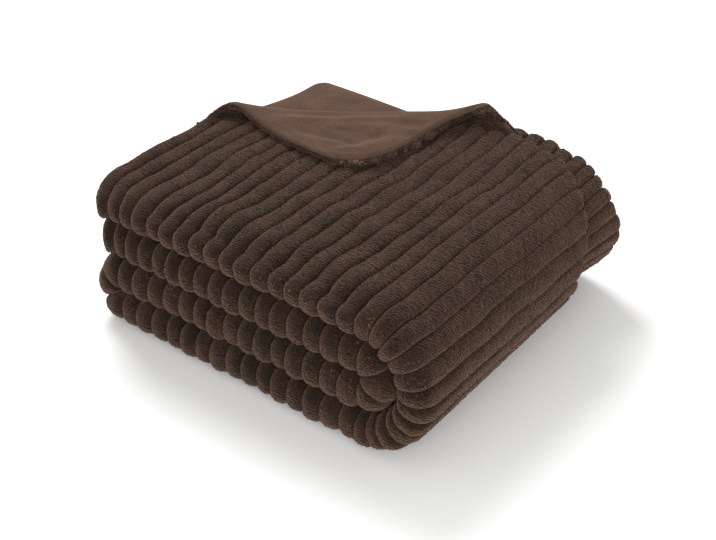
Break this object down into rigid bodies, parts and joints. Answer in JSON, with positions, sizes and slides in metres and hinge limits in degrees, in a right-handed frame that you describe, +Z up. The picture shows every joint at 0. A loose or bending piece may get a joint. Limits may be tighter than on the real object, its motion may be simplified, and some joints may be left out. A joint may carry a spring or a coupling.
{
  "type": "throw blanket",
  "caption": "Plush fleece throw with broad raised ribs, folded into a square stack with one top corner turned back to its smooth reverse.",
  "frame": {"origin": "middle of the footprint's bounding box, on the surface that the stack rests on", "axes": "+Z up; the ribs run front to back along Y with the rounded front folds facing -Y; the wrapped right-hand end faces +X; the turned-back corner is at the top, at -X and +Y"},
  "size_m": [0.5554, 0.5172, 0.245],
  "materials": {
    "ribbed_plush": "short plush pile on raised ribs",
    "smooth_plush": "smooth brushed pile"
  },
  "bodies": {
    "root": {"face_cloth": "ribbed_plush", "reverse_flap": "smooth_plush", "reverse_corner": "smooth_plush"}
  },
  "joints": []
}
